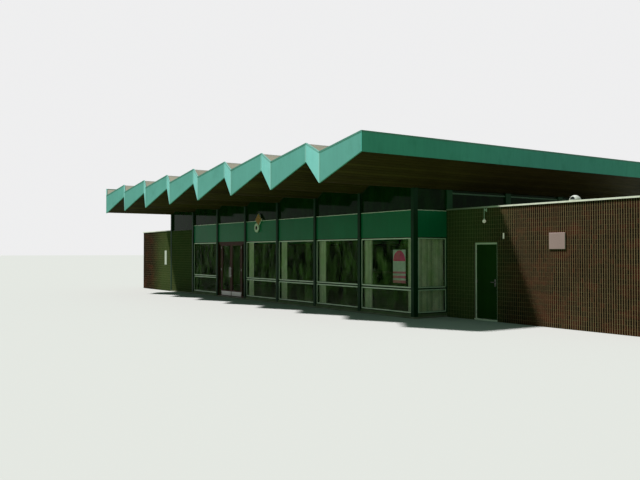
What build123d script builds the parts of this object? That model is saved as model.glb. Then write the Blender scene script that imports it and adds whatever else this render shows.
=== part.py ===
"""Railway station building: a glazed hall under a folded roof, between two low brick wings.

Millimetres, +Z up. Seen from the front, looking along +Y, the right wing is on +X.
The origin is at ground level, in the middle of the building's whole length and depth.
"""
from build123d import *
import os

# Folded roof
bay = 2500.0                    # one fold, from valley to valley
roof_bays = 8                   # whole folds; the hall has one bay fewer than the roof
fascia_top_ridge = 4850.0
fascia_top_valley = 4440.0
fascia_depth_ridge = 520.0
fascia_depth_valley = 810.0     # the fascia is deeper at the valleys
fascia_drop = 35.0              # it hangs this far below the soffit
fascia_upstand = 30.0           # and stands this far above the deck
fascia_thickness = 40.0
fascia_joint = 4.0              # shadow joint between two fascia panels
trim_thickness = 3.0            # folded metal trim over the fascia's top edge
trim_face = 45.0                # its height on the fascia's face
front_overhang = 2770.0         # post line to the ridge ends, front and back alike
valley_reach = 400.0            # the valley ends stand this much further out than the ridge ends
deck_thickness = 60.0
soffit_thickness = 30.0

# Hall
hall_depth = 10000.0            # front post line to back post line
post_width = 120.0
post_depth = 160.0
slab_height = 50.0
plinth_height = 70.0            # on the slab
transom_bottom = 780.0          # above ground
transom_height = 90.0
band_bottom = 2290.0
band_top = 3055.0
band_thickness = 60.0
frame_width = 50.0
frame_depth = 60.0
glass_thickness = 12.0
brick_bay = 7                   # this bay, counted from the right, is brick instead of glass
entrance_bay = brick_bay - 2    # a window bay lies between
inner_side_bays = 3             # between the two short returns on each end of the hall

# Wings
brick_thickness = 220.0
post_proud = 20.0               # posts stand this far in front of the brick bays
return_depth = 1190.0           # post line to the right wing's brick face
right_wing_length = 7500.0      # from the corner post's axis
left_wing_length = 3750.0
right_wall_top = 3060.0
left_wall_top = 2870.0          # also the hall's brick bay, whose glass above is taller
coping_height = 40.0
coping_lip = 30.0
coping_joint = 3.0
roof_recess = 110.0             # wall's top down to the wing's roof
wing_roof_thickness = 150.0
wing_floor_height = 50.0

# Hinged doors
door_gap = 5.0
floor_gap = 12.0
knuckle_radius = 8.0
knuckle_length = 90.0
knuckle_inset = 180.0           # leaf's top or bottom to the nearest knuckle's middle
handle_height = 1050.0
handle_inset = 60.0             # leaf's free edge to the handle's axis
handle_standoff = 55.0
wing_door_left = 1130.0         # corner post's axis to the frame's left edge
wing_door_width = 840.0         # over the frame
wing_door_head = 2120.0         # top of the frame
wing_door_recess = 45.0         # brick face back to the frame's face
wing_door_frame_width = 50.0
wing_door_frame_depth = 90.0
wing_door_sill = 40.0
wing_leaf_thickness = 40.0
lever_length = 120.0
lever_thickness = 16.0
lever_neck_radius = 9.0
entrance_leaf_width = 890.0
entrance_leaf_thickness = 45.0
leaf_stile = 95.0
leaf_bottom_rail = 240.0
pull_length = 420.0
pull_radius = 13.0

# Blinds behind the front windows
rail_height = 50.0
rail_depth = 80.0
blind_thickness = 40.0
blind_stack = 370.0             # width of a blind drawn aside
corner_stack = 150.0            # the first bay also has a narrow one near its right end
corner_gap = 85.0               # its distance from the window frame
blind_sill_gap = 30.0

# Fittings on the walls
rod_radius = 8.0
rod_length = 315.0
rod_standoff = 90.0             # brick face to the rod's axis
bracket_height = 40.0
globe_radius = 50.0
lamp_offset = 465.0             # door frame's left edge to the lamp's axis
door_light_offset = 240.0       # door frame's right edge to the small light beside it
door_light_bottom = 2215.0
door_light_width = 36.0
door_light_height = 150.0
door_light_depth = 32.0
door_light_edge = 10.0          # rounding of its cover
plaque_left = 3690.0            # corner post's axis to the plaque
plaque_width = 480.0
plaque_height = 405.0
plaque_bottom = 1930.0
plaque_thickness = 30.0
dome_offset = 4360.0            # corner post's axis to the hooded light on the coping
dome_radius = 140.0
dome_rise = 110.0
dome_base_height = 20.0
dome_mouth_radius = 75.0        # half-round mouth in its front
dome_mouth_depth = 100.0        # from the foremost point of its base
sign_offset = 980.0             # post on its left to the sign's axis
sign_post = 5                   # that post, counted from the right
sign_diamond = 480.0            # across the corners of the upper plate
sign_disc_radius = 170.0
sign_thickness = 40.0
sign_bottom = 2620.0
sign_rise = 310.0               # disc's middle up to the diamond's middle
sign_shift = 150.0              # and this far to the right
sign_back_width = 60.0
sign_back_thickness = 20.0

# Heights that follow
fascia_bottom_ridge = fascia_top_ridge - fascia_depth_ridge
fascia_bottom_valley = fascia_top_valley - fascia_depth_valley
beam_bottom = fascia_bottom_valley + fascia_drop
soffit_ridge = fascia_bottom_ridge + fascia_drop
deck_valley = fascia_top_valley - fascia_upstand
deck_ridge = fascia_top_ridge - fascia_upstand
frame_bottom = slab_height + plinth_height

# Lengths and places that follow
half_bay = bay / 2
hall_bays = roof_bays - 1
hall_length = hall_bays * bay
eaves_reach = half_bay + fascia_thickness + trim_thickness
reach_right = max(right_wing_length + coping_lip, eaves_reach)
reach_left = hall_length + max(left_wing_length + coping_lip, eaves_reach)
corner_x = (reach_left - reach_right) / 2       # axis of the right corner post
left_x = corner_x - hall_length                 # axis of the left corner post
back_y = hall_depth / 2
front_y = -back_y
ridge_end = back_y + front_overhang             # from the roof's middle line
valley_end = ridge_end + valley_reach
bay_clear = bay - post_width
beam_width = post_width
valleys = [corner_x - i * bay for i in range(roof_bays)]
middles = [corner_x - half_bay - i * bay for i in range(hall_bays)]
glazed = [m for i, m in enumerate(middles, 1) if i != brick_bay]
windows_front = [m for i, m in enumerate(middles, 1) if i not in (brick_bay, entrance_bay)]
brick_middle = middles[brick_bay - 1]
entrance_middle = middles[entrance_bay - 1]
blind_bays = middles[:entrance_bay - 1]
wing_front_y = front_y + return_depth
wing_back_y = -wing_front_y
brick_front_y = front_y - post_depth / 2 + post_proud
brick_inner_y = brick_front_y + brick_thickness
right_end = corner_x + right_wing_length
left_end = left_x - left_wing_length
right_start = corner_x + post_width / 2
left_start = left_x - post_width / 2
return_post_y = wing_front_y + brick_thickness / 2
side_step = 2 * -return_post_y / inner_side_bays
side_posts_y = [return_post_y + i * side_step for i in range(inner_side_bays + 1)]
post_edge_y = front_y + post_depth / 2
return_span = (post_edge_y, wing_front_y)
side_spans = [return_span]
for low, high in zip(side_posts_y, side_posts_y[1:]):
    side_spans.append((low + brick_thickness / 2, high - brick_thickness / 2))
side_spans.append((-return_span[1], -return_span[0]))

os.makedirs("parts", exist_ok=True)


def block(x0, x1, y0, y1, z0, z1, mode=Mode.ADD):
    """A straight-sided block between two corners, in the open part."""
    with Locations(((x0 + x1) / 2, (y0 + y1) / 2, (z0 + z1) / 2)):
        Box(x1 - x0, y1 - y0, z1 - z0, mode=mode)


def finish(builder, name):
    """Label a finished piece and write its file."""
    builder.part.label = name
    export_step(builder.part, f"parts/{name}.step")


# Roof slopes: each rises from its valley at x = 0 to its ridge at half a bay.
# Their ends are cut by upright planes that run from the valley end to the ridge end.
def edge_plane(side, outward=0.0, hand=1):
    """Upright plane along the front (side -1) or back (side 1) edge, facing the middle."""
    inward = (-hand * valley_reach, -side * half_bay, 0)
    return Plane(origin=(0, side * (valley_end + outward), 0), z_dir=inward)


def roof_slope(points):
    """The strip with this section, from front edge to back edge."""
    with BuildPart() as strip:
        with BuildSketch(Plane.XZ):
            with BuildLine():
                Polyline(*points, close=True)
            make_face()
        extrude(amount=valley_end, both=True)
        for side in (-1, 1):
            split(bisect_by=edge_plane(side), keep=Keep.TOP)
    return strip.part


def upright_panel(low_valley, low_ridge, high_valley, high_ridge, inner, outer):
    """Upright panel in front of one slope, from its valley end to its ridge end.

    The heights are those of its two edges at the valley and at the ridge. Inner and outer
    are its two faces, as distances out from the ends of the slope.
    """
    start = fascia_joint / 2
    stop = half_bay - start
    low_pitch = (low_ridge - low_valley) / half_bay
    high_pitch = (high_ridge - high_valley) / half_bay
    with BuildPart() as panel:
        with BuildSketch(Plane.XZ):
            with BuildLine():
                Polyline(
                    (start, low_valley + start * low_pitch),
                    (stop, low_valley + stop * low_pitch),
                    (stop, high_valley + stop * high_pitch),
                    (start, high_valley + start * high_pitch),
                    close=True,
                )
            make_face()
        extrude(amount=valley_end + outer)
        split(bisect_by=edge_plane(-1, inner), keep=Keep.BOTTOM)
        split(bisect_by=edge_plane(-1, outer), keep=Keep.TOP)
    return panel.part


def edge_trim():
    """Folded trim of one fascia panel: a strip down its face and one over its top edge."""
    trim_valley = fascia_top_valley + trim_thickness
    trim_ridge = fascia_top_ridge + trim_thickness
    with BuildPart() as trim:
        add(upright_panel(
            fascia_top_valley - trim_face, fascia_top_ridge - trim_face, trim_valley, trim_ridge,
            fascia_thickness, fascia_thickness + trim_thickness,
        ))
        add(upright_panel(
            fascia_top_valley, fascia_top_ridge, trim_valley, trim_ridge,
            0, fascia_thickness,
        ))
    return trim.part


deck_slope = roof_slope([
    (0, deck_valley - deck_thickness),
    (half_bay, deck_ridge - deck_thickness),
    (half_bay, deck_ridge),
    (0, deck_valley),
])
soffit_slope = roof_slope([
    (beam_width / 2, beam_bottom),
    (half_bay, soffit_ridge),
    (half_bay, soffit_ridge + soffit_thickness),
    (beam_width / 2, beam_bottom + soffit_thickness),
])
front_panel = upright_panel(
    fascia_bottom_valley, fascia_bottom_ridge, fascia_top_valley, fascia_top_ridge,
    0, fascia_thickness,
)
back_panel = mirror(front_panel, about=Plane.XZ, mode=Mode.PRIVATE)
front_trim = edge_trim()
back_trim = mirror(front_trim, about=Plane.XZ, mode=Mode.PRIVATE)

for slope, kind in ((deck_slope, "roof_deck"), (soffit_slope, "soffit")):
    with BuildPart() as right_slopes:
        with Locations(*[(x, 0, 0) for x in valleys]):
            add(slope)
    finish(right_slopes, f"{kind}_right_slopes")
    with BuildPart() as left_slopes:
        with Locations(*[(x, 0, 0) for x in valleys]):
            add(mirror(slope, about=Plane.YZ, mode=Mode.PRIVATE))
    finish(left_slopes, f"{kind}_left_slopes")

for panel, place in ((front_panel, "front"), (back_panel, "back")):
    with BuildPart() as fascia:
        with Locations(*[(x, 0, 0) for x in valleys]):
            add(panel)
            add(mirror(panel, about=Plane.YZ, mode=Mode.PRIVATE))
    finish(fascia, f"fascia_{place}")

with BuildPart() as fascia_sides:
    for edge, outward in ((corner_x + half_bay, 1), (left_x - half_bay, -1)):
        face = edge + outward * fascia_thickness
        block(
            min(edge, face), max(edge, face),
            -ridge_end - fascia_thickness, ridge_end + fascia_thickness,
            fascia_bottom_ridge, fascia_top_ridge,
        )
finish(fascia_sides, "fascia_sides")

with BuildPart() as roof_edge_trims:
    with Locations(*[(x, 0, 0) for x in valleys]):
        for trim in (front_trim, back_trim):
            add(trim)
            add(mirror(trim, about=Plane.YZ, mode=Mode.PRIVATE))
    trim_end = ridge_end + fascia_thickness + trim_thickness
    for edge, outward in ((corner_x + half_bay, 1), (left_x - half_bay, -1)):
        face = edge + outward * fascia_thickness
        outer = face + outward * trim_thickness
        ends = (fascia_top_ridge - trim_face, fascia_top_ridge + trim_thickness)
        block(min(face, outer), max(face, outer), -trim_end, trim_end, *ends)
        block(min(edge, face), max(edge, face), -trim_end, trim_end, fascia_top_ridge, ends[1])
        block(min(edge, face), max(edge, face), -trim_end, trim_thickness - trim_end, *ends)
        block(min(edge, face), max(edge, face), trim_end - trim_thickness, trim_end, *ends)
finish(roof_edge_trims, "roof_edge_trims")

# Beam along each valley, pointed at both ends where the edges of its two slopes meet
with BuildPart() as valley_beam:
    block(-beam_width / 2, beam_width / 2, -valley_end, valley_end, beam_bottom, deck_valley - deck_thickness)
    for side in (-1, 1):
        for hand in (-1, 1):
            split(bisect_by=edge_plane(side, hand=hand), keep=Keep.TOP)
with BuildPart() as valley_beams:
    with Locations(*[(x, 0, 0) for x in valleys]):
        add(valley_beam.part)
finish(valley_beams, "valley_beams")

# Posts under the valleys, and along both ends of the hall
with BuildPart() as facade_posts:
    for y in (front_y, back_y):
        for x in valleys:
            block(
                x - post_width / 2, x + post_width / 2,
                y - post_depth / 2, y + post_depth / 2,
                slab_height, beam_bottom,
            )
finish(facade_posts, "facade_posts")

with BuildPart() as side_posts:
    for x in (corner_x, left_x):
        for y in side_posts_y:
            block(
                x - post_width / 2, x + post_width / 2,
                y - brick_thickness / 2, y + brick_thickness / 2,
                slab_height, beam_bottom,
            )
finish(side_posts, "side_posts")

with BuildPart() as hall_slab:
    block(
        left_start, right_start,
        front_y - post_depth / 2, back_y + post_depth / 2,
        0, slab_height,
    )
finish(hall_slab, "hall_slab")

# Coloured band between the posts, all round the hall
with BuildPart() as spandrels:
    for y in (front_y, back_y):
        for m in glazed:
            block(
                m - bay_clear / 2, m + bay_clear / 2,
                y - band_thickness / 2, y + band_thickness / 2,
                band_bottom, band_top,
            )
    for x in (corner_x, left_x):
        for low, high in side_spans:
            block(x - band_thickness / 2, x + band_thickness / 2, low, high, band_bottom, band_top)
finish(spandrels, "spandrels")

# Glass above the band: pointed panes that follow the folds, plain ones at the ends
with BuildPart() as clerestory_glass:
    for y in (front_y, back_y):
        with BuildSketch(Plane.XZ.offset(-y - glass_thickness / 2)):
            for m in middles:
                pane_foot = left_wall_top if m == brick_middle else band_top
                with BuildLine():
                    Polyline(
                        (m - bay_clear / 2, pane_foot),
                        (m + bay_clear / 2, pane_foot),
                        (m + bay_clear / 2, beam_bottom),
                        (m, soffit_ridge),
                        (m - bay_clear / 2, beam_bottom),
                        close=True,
                    )
                make_face()
        extrude(amount=glass_thickness)
    for x in (corner_x, left_x):
        for low, high in side_spans:
            block(x - glass_thickness / 2, x + glass_thickness / 2, low, high, band_top, beam_bottom)
finish(clerestory_glass, "clerestory_glass")

# Windows under the band: a frame with a low transom, on a plinth
lights = (
    (frame_bottom + frame_width, transom_bottom),
    (transom_bottom + transom_height, band_bottom - frame_width),
)
front_and_back = [(m, front_y) for m in windows_front] + [(m, back_y) for m in glazed]
returns = (side_spans[0], side_spans[-1])

with BuildPart() as plinths:
    for m, y in front_and_back:
        block(
            m - bay_clear / 2, m + bay_clear / 2,
            y - post_width / 2, y + post_width / 2,
            slab_height, frame_bottom,
        )
    for low, high in returns:
        block(corner_x - post_width / 2, corner_x + post_width / 2, low, high, slab_height, frame_bottom)
finish(plinths, "plinths")

with BuildPart() as window_frames:
    for m, y in front_and_back:
        y0 = y - frame_depth / 2
        y1 = y + frame_depth / 2
        block(m - bay_clear / 2, m + bay_clear / 2, y0, y1, frame_bottom, band_bottom)
        opening = bay_clear / 2 - frame_width
        for z0, z1 in lights:
            block(m - opening, m + opening, y0, y1, z0, z1, mode=Mode.SUBTRACT)
    for low, high in returns:
        x0 = corner_x - frame_depth / 2
        x1 = corner_x + frame_depth / 2
        block(x0, x1, low, high, frame_bottom, band_bottom)
        for z0, z1 in lights:
            block(x0, x1, low + frame_width, high - frame_width, z0, z1, mode=Mode.SUBTRACT)
finish(window_frames, "window_frames")

# Entrance: a narrow fixed light on each side, a head, and two hinged leaves between
leaves_half = entrance_leaf_width + 1.5 * door_gap
sidelight_inner = leaves_half + frame_width
leaf_bottom = slab_height + floor_gap
leaf_top = band_bottom - frame_width - door_gap
entrance_y0 = front_y - frame_depth / 2
entrance_y1 = front_y + frame_depth / 2

with BuildPart() as entrance_frame:
    for hand in (-1, 1):
        near = entrance_middle + hand * leaves_half
        far = entrance_middle + hand * bay_clear / 2
        block(min(near, far), max(near, far), entrance_y0, entrance_y1, slab_height, band_bottom - frame_width)
        near = entrance_middle + hand * sidelight_inner
        far = entrance_middle + hand * (bay_clear / 2 - frame_width)
        block(
            min(near, far), max(near, far), entrance_y0, entrance_y1,
            slab_height + frame_width, band_bottom - 2 * frame_width,
            mode=Mode.SUBTRACT,
        )
finish(entrance_frame, "entrance_frame")

with BuildPart() as entrance_head:
    block(
        entrance_middle - bay_clear / 2, entrance_middle + bay_clear / 2,
        entrance_y0, entrance_y1, band_bottom - frame_width, band_bottom,
    )
finish(entrance_head, "entrance_head")

with BuildPart() as window_glass:
    opening = bay_clear / 2 - frame_width
    for m, y in front_and_back:
        for z0, z1 in lights:
            block(m - opening, m + opening, y - glass_thickness / 2, y + glass_thickness / 2, z0, z1)
    for low, high in returns:
        for z0, z1 in lights:
            block(
                corner_x - glass_thickness / 2, corner_x + glass_thickness / 2,
                low + frame_width, high - frame_width, z0, z1,
            )
    for hand in (-1, 1):
        near = entrance_middle + hand * sidelight_inner
        far = entrance_middle + hand * opening
        block(
            min(near, far), max(near, far),
            front_y - glass_thickness / 2, front_y + glass_thickness / 2,
            slab_height + frame_width, band_bottom - 2 * frame_width,
        )
finish(window_glass, "window_glass")

knuckles = []                   # axis x, y and height of every hinge knuckle
leaf_front_y = entrance_y0
leaf_back_y = leaf_front_y + entrance_leaf_thickness
for name, hand in (("left", -1), ("right", 1)):
    hinge_edge = entrance_middle + hand * (leaves_half - door_gap)
    free_edge = entrance_middle + hand * door_gap / 2
    x0 = min(hinge_edge, free_edge)
    x1 = max(hinge_edge, free_edge)
    pane = (x0 + leaf_stile, x1 - leaf_stile)
    pane_z = (leaf_bottom + leaf_bottom_rail, leaf_top - leaf_stile)
    with BuildPart() as leaf:
        block(x0, x1, leaf_front_y, leaf_back_y, leaf_bottom, leaf_top)
        block(*pane, leaf_front_y, leaf_back_y, *pane_z, mode=Mode.SUBTRACT)
    finish(leaf, f"entrance_door_{name}")
    leaf_middle_y = (leaf_front_y + leaf_back_y) / 2
    with BuildPart() as leaf_glass:
        block(*pane, leaf_middle_y - glass_thickness / 2, leaf_middle_y + glass_thickness / 2, *pane_z)
    finish(leaf_glass, f"entrance_glass_{name}")
    pull_x = free_edge + hand * handle_inset
    pull_y = leaf_front_y - handle_standoff
    with BuildPart() as pull:
        with BuildSketch(Plane.XY.offset(handle_height - pull_length / 2)):
            with Locations((pull_x, pull_y)):
                Circle(pull_radius)
        extrude(amount=pull_length)
        for z in (handle_height - pull_length / 3, handle_height + pull_length / 3):
            with BuildSketch(Plane.XZ.offset(-leaf_front_y)):
                with Locations((pull_x, z)):
                    Circle(pull_radius / 2)
            extrude(amount=handle_standoff)
    finish(pull, f"entrance_pull_{name}")
    axis_x = hinge_edge + hand * door_gap / 2
    for z in (leaf_bottom + knuckle_inset, (leaf_bottom + leaf_top) / 2, leaf_top - knuckle_inset):
        knuckles.append((axis_x, leaf_front_y - knuckle_radius, z))

# Door in the right wing's brick front
door_x0 = corner_x + wing_door_left
door_x1 = door_x0 + wing_door_width
door_inner_x0 = door_x0 + wing_door_frame_width
door_inner_x1 = door_x1 - wing_door_frame_width
door_y0 = wing_front_y + wing_door_recess
door_y1 = door_y0 + wing_door_frame_depth
with BuildPart() as wing_door_jambs:
    for x in (door_x0, door_inner_x1):
        block(
            x, x + wing_door_frame_width, door_y0, door_y1,
            wing_door_sill, wing_door_head - wing_door_frame_width,
        )
finish(wing_door_jambs, "wing_door_jambs")

with BuildPart() as wing_door_head_and_sill:
    block(door_x0, door_x1, door_y0, door_y1, wing_door_head - wing_door_frame_width, wing_door_head)
    block(door_x0, door_x1, wing_front_y, wing_front_y + brick_thickness, 0, wing_door_sill)
finish(wing_door_head_and_sill, "wing_door_head_and_sill")

wing_leaf_x0 = door_inner_x0 + door_gap
wing_leaf_x1 = door_inner_x1 - door_gap
wing_leaf_z0 = wing_door_sill + floor_gap
wing_leaf_z1 = wing_door_head - wing_door_frame_width - door_gap
with BuildPart() as wing_door_leaf:
    block(
        wing_leaf_x0, wing_leaf_x1, door_y0, door_y0 + wing_leaf_thickness,
        wing_leaf_z0, wing_leaf_z1,
    )
finish(wing_door_leaf, "wing_door_leaf")

lever_x = wing_leaf_x1 - handle_inset
with BuildPart() as wing_door_lever:
    with BuildSketch(Plane.XZ.offset(-door_y0)):
        with Locations((lever_x, handle_height)):
            Circle(lever_neck_radius)
    extrude(amount=handle_standoff)
    block(
        lever_x - lever_length, lever_x + lever_neck_radius,
        door_y0 - handle_standoff, door_y0 - handle_standoff + lever_thickness,
        handle_height - lever_neck_radius, handle_height + lever_neck_radius,
    )
finish(wing_door_lever, "wing_door_lever")

wing_axis_x = wing_leaf_x0 - door_gap / 2
for z in (wing_leaf_z0 + knuckle_inset, (wing_leaf_z0 + wing_leaf_z1) / 2, wing_leaf_z1 - knuckle_inset):
    knuckles.append((wing_axis_x, door_y0 - knuckle_radius, z))

with BuildPart() as door_hinges:
    with Locations(*knuckles):
        Cylinder(knuckle_radius, knuckle_length)
finish(door_hinges, "door_hinges")

# Right wing: brick walls split round the doorway
with BuildPart() as wall_left_of_door:
    block(right_start, door_x0, wing_front_y, wing_front_y + brick_thickness, 0, right_wall_top)
finish(wall_left_of_door, "wall_left_of_door")

with BuildPart() as wall_over_door:
    block(door_x0, door_x1, wing_front_y, wing_front_y + brick_thickness, wing_door_head, right_wall_top)
finish(wall_over_door, "wall_over_door")

with BuildPart() as right_wing_long_walls:
    block(door_x1, right_end, wing_front_y, wing_front_y + brick_thickness, 0, right_wall_top)
    block(right_start, right_end, wing_back_y - brick_thickness, wing_back_y, 0, right_wall_top)
finish(right_wing_long_walls, "right_wing_long_walls")

with BuildPart() as right_wing_end_wall:
    block(
        right_end - brick_thickness, right_end,
        wing_front_y + brick_thickness, wing_back_y - brick_thickness,
        0, right_wall_top,
    )
finish(right_wing_end_wall, "right_wing_end_wall")

# Left wing, flush with the hall, and the hall's own brick bay beside it
with BuildPart() as left_brick_walls:
    for y0, y1 in ((brick_front_y, brick_inner_y), (-brick_inner_y, -brick_front_y)):
        block(left_end, left_start, y0, y1, 0, left_wall_top)
        block(brick_middle - bay_clear / 2, brick_middle + bay_clear / 2, y0, y1, slab_height, left_wall_top)
finish(left_brick_walls, "left_brick_walls")

with BuildPart() as left_wing_end_wall:
    block(left_end, left_end + brick_thickness, brick_inner_y, -brick_inner_y, 0, left_wall_top)
finish(left_wing_end_wall, "left_wing_end_wall")

right_room = (right_start, right_end - brick_thickness, wing_front_y + brick_thickness, wing_back_y - brick_thickness)
left_room = (left_end + brick_thickness, left_start, brick_inner_y, -brick_inner_y)
with BuildPart() as wing_floors:
    block(*right_room, 0, wing_floor_height)
    block(*left_room, 0, wing_floor_height)
finish(wing_floors, "wing_floors")

with BuildPart() as wing_roofs:
    for room, wall_top in ((right_room, right_wall_top), (left_room, left_wall_top)):
        roof_top = wall_top - roof_recess
        block(*room, roof_top - wing_roof_thickness, roof_top)
finish(wing_roofs, "wing_roofs")

# Coping on the wings' walls: long strips front and back, a short one between at each end
coping_width = brick_thickness + 2 * coping_lip
with BuildPart() as wing_copings:
    for x0, x1, front, wall_top in (
        (right_start, right_end + coping_lip, wing_front_y - coping_lip, right_wall_top),
        (left_end - coping_lip, left_start, brick_front_y - coping_lip, left_wall_top),
    ):
        heights = (wall_top, wall_top + coping_height)
        block(x0, x1, front, front + coping_width, *heights)
        block(x0, x1, -front - coping_width, -front, *heights)
        inner = front + coping_width + coping_joint
        end0 = x1 - coping_width if x1 > right_end else x0
        block(end0, end0 + coping_width, inner, -inner, *heights)
finish(wing_copings, "wing_copings")

# Vertical blinds on rails behind the band: drawn aside in the bays, closed in the return
rail_y0 = front_y + band_thickness / 2
rail_x1 = corner_x - band_thickness / 2
rail_top = band_bottom + rail_height
blind_bottom = frame_bottom + blind_sill_gap
with BuildPart() as blind_rails:
    for m in blind_bays:
        block(m - bay_clear / 2, m + bay_clear / 2, rail_y0, rail_y0 + rail_depth, band_bottom, rail_top)
    block(rail_x1 - rail_depth, rail_x1, rail_y0 + rail_depth + coping_joint, wing_front_y, band_bottom, rail_top)
finish(blind_rails, "blind_rails")

with BuildPart() as vertical_blinds:
    blind_y0 = rail_y0 + (rail_depth - blind_thickness) / 2
    for m in blind_bays:
        x0 = m - bay_clear / 2 + frame_width
        block(x0, x0 + blind_stack, blind_y0, blind_y0 + blind_thickness, blind_bottom, band_bottom)
    x1 = blind_bays[0] + bay_clear / 2 - frame_width - corner_gap
    block(x1 - corner_stack, x1, blind_y0, blind_y0 + blind_thickness, blind_bottom, band_bottom)
    blind_x1 = rail_x1 - (blind_y0 - rail_y0)
    block(
        blind_x1 - blind_thickness, blind_x1,
        return_span[0] + frame_width, return_span[1] - frame_width,
        blind_bottom, band_bottom,
    )
finish(vertical_blinds, "vertical_blinds")

# Lamp over the wing's door: a bracket and rod from the wall's top, with a globe
lamp_x = door_x0 + lamp_offset
lamp_y = wing_front_y - rod_standoff
rod_top = right_wall_top
with BuildPart() as wall_lamp_rod:
    with BuildSketch(Plane.XY.offset(rod_top - rod_length)):
        with Locations((lamp_x, lamp_y)):
            Circle(rod_radius)
    extrude(amount=rod_length)
    block(
        lamp_x - rod_radius, lamp_x + rod_radius, lamp_y, wing_front_y,
        rod_top - bracket_height * 2, rod_top - bracket_height,
    )
finish(wall_lamp_rod, "wall_lamp_rod")

with BuildPart() as wall_lamp_globe:
    with Locations((lamp_x, lamp_y, rod_top - rod_length - globe_radius)):
        Sphere(globe_radius)
finish(wall_lamp_globe, "wall_lamp_globe")

# Small upright light on the brick beside the door
door_light_x = door_x1 + door_light_offset
with BuildPart() as wall_door_light:
    block(
        door_light_x - door_light_width / 2, door_light_x + door_light_width / 2,
        wing_front_y - door_light_depth, wing_front_y,
        door_light_bottom, door_light_bottom + door_light_height,
    )
    fillet(wall_door_light.faces().sort_by(Axis.Y)[0].edges(), door_light_edge)
finish(wall_door_light, "wall_door_light")

with BuildPart() as wall_plaque:
    block(
        corner_x + plaque_left, corner_x + plaque_left + plaque_width,
        wing_front_y - plaque_thickness, wing_front_y,
        plaque_bottom, plaque_bottom + plaque_height,
    )
    chamfer(wall_plaque.faces().sort_by(Axis.Y)[0].edges(), plaque_thickness / 4)
finish(wall_plaque, "wall_plaque")

# Hooded light on the coping: a shallow dome on a base, with a half-round mouth in its front
dome_foot = (corner_x + dome_offset, wing_front_y + brick_thickness / 2, right_wall_top + coping_height)
dome_top = dome_base_height + dome_rise
dome_curve = (dome_radius ** 2 + dome_rise ** 2) / (2 * dome_rise)
with BuildPart() as coping_dome:
    with BuildSketch(Plane(origin=dome_foot, x_dir=(1, 0, 0), z_dir=(0, -1, 0))):
        with BuildLine():
            Polyline((0, dome_top), (0, 0), (dome_radius, 0), (dome_radius, dome_base_height))
            RadiusArc((dome_radius, dome_base_height), (0, dome_top), -dome_curve)
        make_face()
    revolve(axis=Axis(dome_foot, (0, 0, 1)))
    mouth_plane = Plane(
        origin=(dome_foot[0], dome_foot[1] - dome_radius, dome_foot[2] + dome_base_height),
        x_dir=(1, 0, 0), z_dir=(0, 1, 0),
    )
    with BuildSketch(mouth_plane):
        Circle(dome_mouth_radius)
        with Locations((0, dome_radius)):
            Rectangle(2 * dome_radius, 2 * dome_radius, mode=Mode.SUBTRACT)
    extrude(amount=dome_mouth_depth, mode=Mode.SUBTRACT)
finish(coping_dome, "coping_dome")

# Blank sign on the band: a disc on an upright strip, with a diamond plate rising from it
sign_x = valleys[sign_post - 1] + sign_offset
sign_front_y = front_y - band_thickness / 2 - sign_back_thickness
disc_middle = sign_bottom + sign_disc_radius
diamond_middle = disc_middle + sign_rise
with BuildPart() as sign_strip:
    block(
        sign_x - sign_back_width / 2, sign_x + sign_back_width / 2,
        sign_front_y, sign_front_y + sign_back_thickness,
        sign_bottom, diamond_middle,
    )
finish(sign_strip, "sign_strip")

with BuildPart() as sign_plates:
    with BuildSketch(Plane.XZ.offset(-sign_front_y)):
        with Locations((sign_x, disc_middle)):
            Circle(sign_disc_radius)
        with Locations((sign_x + sign_shift, diamond_middle)):
            Rectangle(sign_diamond / 2 ** 0.5, sign_diamond / 2 ** 0.5, rotation=45)
    extrude(amount=sign_thickness)
finish(sign_plates, "sign_plates")
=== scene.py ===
import math
import random

import bmesh
import bpy
from bmesh.types import BMEdge, BMFace, BMVert
from mathutils import Matrix, Vector


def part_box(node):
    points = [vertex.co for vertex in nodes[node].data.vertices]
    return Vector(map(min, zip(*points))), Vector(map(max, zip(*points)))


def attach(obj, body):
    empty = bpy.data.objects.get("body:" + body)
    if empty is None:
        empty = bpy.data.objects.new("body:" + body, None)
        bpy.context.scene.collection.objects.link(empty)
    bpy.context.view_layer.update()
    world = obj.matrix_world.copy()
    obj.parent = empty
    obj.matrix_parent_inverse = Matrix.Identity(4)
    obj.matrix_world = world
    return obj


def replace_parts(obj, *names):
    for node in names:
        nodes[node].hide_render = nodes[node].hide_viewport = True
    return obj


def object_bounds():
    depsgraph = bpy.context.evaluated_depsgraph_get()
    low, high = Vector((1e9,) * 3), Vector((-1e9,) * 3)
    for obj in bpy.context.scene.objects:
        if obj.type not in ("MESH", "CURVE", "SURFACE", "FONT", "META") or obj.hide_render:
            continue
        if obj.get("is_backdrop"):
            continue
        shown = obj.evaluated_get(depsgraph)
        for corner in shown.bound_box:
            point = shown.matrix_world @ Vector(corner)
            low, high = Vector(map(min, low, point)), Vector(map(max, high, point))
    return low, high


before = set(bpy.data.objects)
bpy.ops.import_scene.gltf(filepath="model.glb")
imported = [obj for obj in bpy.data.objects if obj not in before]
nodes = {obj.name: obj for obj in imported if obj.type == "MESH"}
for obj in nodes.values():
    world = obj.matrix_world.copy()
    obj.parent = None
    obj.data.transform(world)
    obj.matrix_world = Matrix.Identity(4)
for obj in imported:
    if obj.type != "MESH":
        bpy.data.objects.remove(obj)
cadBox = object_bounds()
scene = bpy.context.scene
scene.view_settings.view_transform = "Standard"
rng = random.Random(11)
print("frame loaded:", len(nodes), "pieces")

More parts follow.
